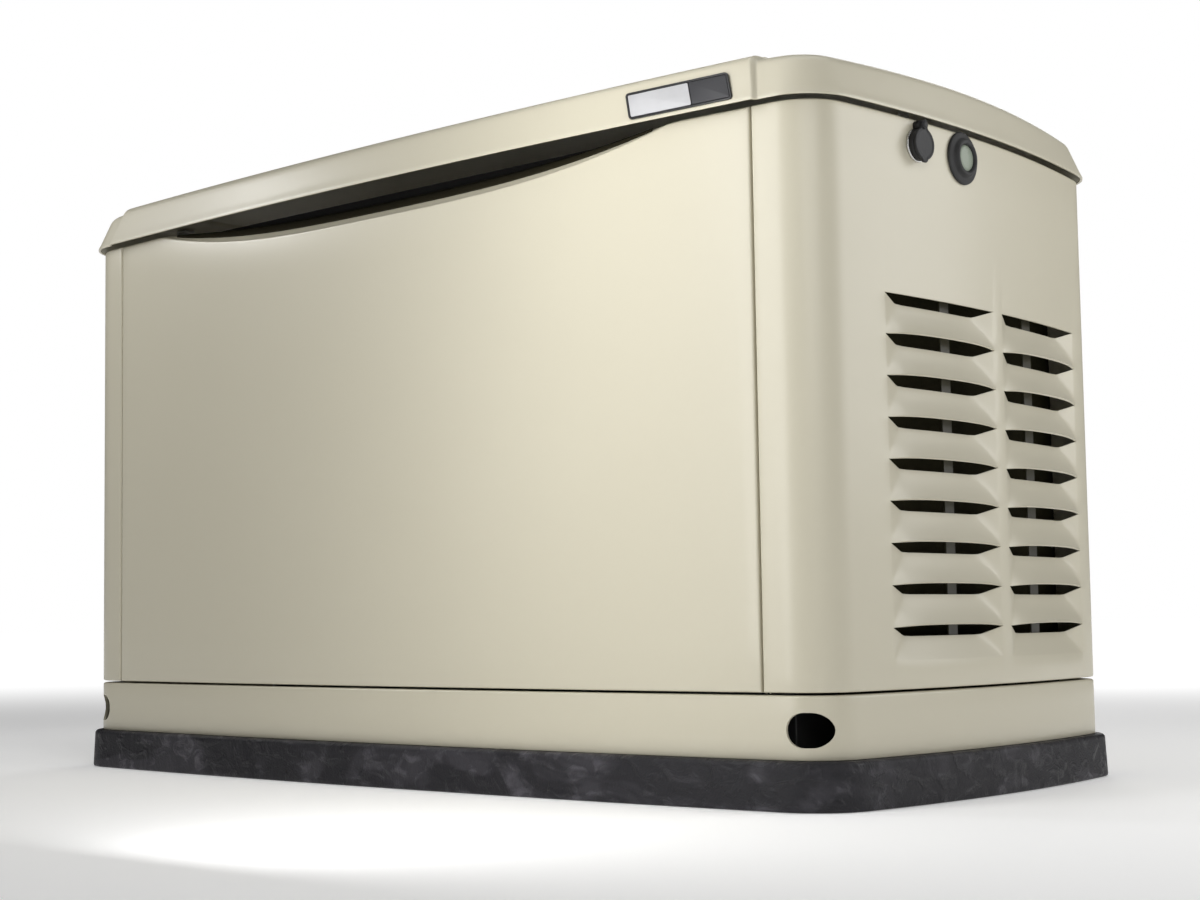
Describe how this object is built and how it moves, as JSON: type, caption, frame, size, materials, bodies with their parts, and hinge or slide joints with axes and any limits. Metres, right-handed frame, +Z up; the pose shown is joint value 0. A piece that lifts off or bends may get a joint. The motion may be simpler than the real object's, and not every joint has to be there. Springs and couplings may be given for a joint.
{
  "type": "home standby generator",
  "caption": "Standby generator in a bowed sheet-steel enclosure on a pad: hinged lid, lift-off front panel, louvred ends, locks, and engine, alternator, muffler and controls inside.",
  "frame": {"origin": "on the ground under the middle of the pad", "axes": "+X to the right-hand end, -Y out of the front panel, +Z up"},
  "size_m": [1.218, 0.638, 0.736],
  "materials": {
    "painted_panel": "semi-gloss beige powder coat",
    "pad": "charcoal composite with a faint stone-like streak",
    "black_steel": "satin black paint",
    "nameplate_blank": "blank satin plate with a black border",
    "rubber_black": "satin",
    "lens": "frosted grey-green",
    "cast_alloy": "as cast",
    "machined_steel": "machined",
    "zinc_steel": "zinc plated",
    "plastic_black": "moulded, fine grain",
    "plastic_grey": "moulded, fine grain",
    "hot_steel": "aluminised, heat tinted",
    "copper_winding": "varnished copper and laminations",
    "paper_filter": "pleated paper",
    "plastic_yellow": "gloss",
    "plastic_white": "gloss",
    "button_green": "gloss",
    "button_red": "gloss",
    "button_blue": "gloss"
  },
  "bodies": {
    "enclosure": {"base_pad": "pad", "base_frame": "painted_panel", "right_end_panel": "painted_panel", "left_end_panel": "painted_panel", "rear_panel": "painted_panel", "front_header_rail": "black_steel", "hinge_base_leaf_left": "zinc_steel", "hinge_pin_left": "machined_steel", "hinge_base_leaf_right": "zinc_steel", "hinge_pin_right": "machined_steel", "lock_housing_right": "plastic_black", "lock_housing_left": "plastic_black", "status_light_bezel": "rubber_black", "status_light_lens": "lens", "crankcase": "cast_alloy", "cylinder_front": "cast_alloy", "cylinder_rear": "cast_alloy", "rocker_cover_front": "black_steel", "rocker_cover_rear": "black_steel", "blower_housing": "black_steel", "alternator_stator": "hot_steel", "bearing_carrier": "cast_alloy", "rotor_bearing": "machined_steel", "engine_cradle": "black_steel", "intake_manifold": "cast_alloy", "air_box": "plastic_black", "air_filter": "paper_filter", "air_box_cover": "plastic_black", "oil_filter": "plastic_grey", "starter_motor": "black_steel", "dipstick_tube": "black_steel", "exhaust_manifold": "hot_steel", "muffler": "hot_steel", "exhaust_divider": "zinc_steel", "fuel_inlet_pipe": "black_steel", "fuel_regulator": "cast_alloy", "fuel_hose": "rubber_black", "battery": "plastic_black", "control_box": "zinc_steel", "controller": "plastic_grey", "main_breaker": "plastic_black"},
    "lid": {"lid": "painted_panel", "nameplate": "nameplate_blank", "hinge_lid_leaf_left": "zinc_steel", "hinge_lid_leaf_right": "zinc_steel", "lid_striker_left": "zinc_steel", "lid_striker_right": "zinc_steel"},
    "front_panel": {"front_panel": "painted_panel"},
    "lock_cam_right": {"lock_cam_right": "machined_steel"},
    "lock_cam_left": {"lock_cam_left": "machined_steel"},
    "dust_cover_right": {"lock_dust_cover_right": "plastic_black"},
    "dust_cover_left": {"lock_dust_cover_left": "plastic_black"},
    "rotating_group": {"crankshaft": "machined_steel", "flywheel_fan": "cast_alloy", "alternator_rotor": "copper_winding"},
    "dipstick": {"dipstick": "plastic_yellow"},
    "breaker_toggle": {"breaker_toggle": "plastic_white"},
    "auto_button": {"auto_button": "button_green"},
    "off_button": {"off_button": "button_red"},
    "manual_button": {"manual_button": "button_blue"}
  },
  "joints": [
    {"name": "lid_hinge", "type": "hinge", "parent": "enclosure", "child": "lid", "pos_m": [0, 0.314, 0.6775], "axis": [-1, 0, 0], "range_deg": [0, 95]},
    {"name": "front_panel_lift_off", "type": "slide", "parent": "enclosure", "child": "front_panel", "axis": [0, -1, 0], "range_m": [0, 0.25]},
    {"name": "lock_turn_right", "type": "hinge", "parent": "enclosure", "child": "lock_cam_right", "pos_m": [0.59164, -0.128, 0.651], "axis": [-0.997, 0.0774, 0], "range_deg": [0, 90]},
    {"name": "lock_turn_left", "type": "hinge", "parent": "enclosure", "child": "lock_cam_left", "pos_m": [-0.59164, -0.128, 0.651], "axis": [0.997, 0.0774, 0], "range_deg": [0, 90]},
    {"name": "dust_cover_swing_right", "type": "hinge", "parent": "enclosure", "child": "dust_cover_right", "pos_m": [0.59164, -0.128, 0.6705], "axis": [0.997, -0.0774, 0], "range_deg": [-110, 110]},
    {"name": "dust_cover_swing_left", "type": "hinge", "parent": "enclosure", "child": "dust_cover_left", "pos_m": [-0.59164, -0.128, 0.6705], "axis": [-0.997, -0.0774, 0], "range_deg": [-110, 110]},
    {"name": "crank_spin", "type": "hinge", "parent": "enclosure", "child": "rotating_group", "pos_m": [0, 0.02, 0.235], "axis": [1, 0, 0], "continuous": true},
    {"name": "dipstick_pull", "type": "slide", "parent": "enclosure", "child": "dipstick", "axis": [0, 0, 1], "range_m": [0, 0.2]},
    {"name": "breaker_throw", "type": "hinge", "parent": "enclosure", "child": "breaker_toggle", "pos_m": [0.466, -0.2513, 0.555], "axis": [1, 0, 0], "range_deg": [0, 60]},
    {"name": "auto_press", "type": "slide", "parent": "enclosure", "child": "auto_button", "axis": [0, 1, 0], "range_m": [0, 0.0015], "stiffness_N_per_m": 400},
    {"name": "off_press", "type": "slide", "parent": "enclosure", "child": "off_button", "axis": [0, 1, 0], "range_m": [0, 0.0015], "stiffness_N_per_m": 400},
    {"name": "manual_press", "type": "slide", "parent": "enclosure", "child": "manual_button", "axis": [0, 1, 0], "range_m": [0, 0.0015], "stiffness_N_per_m": 400}
  ]
}
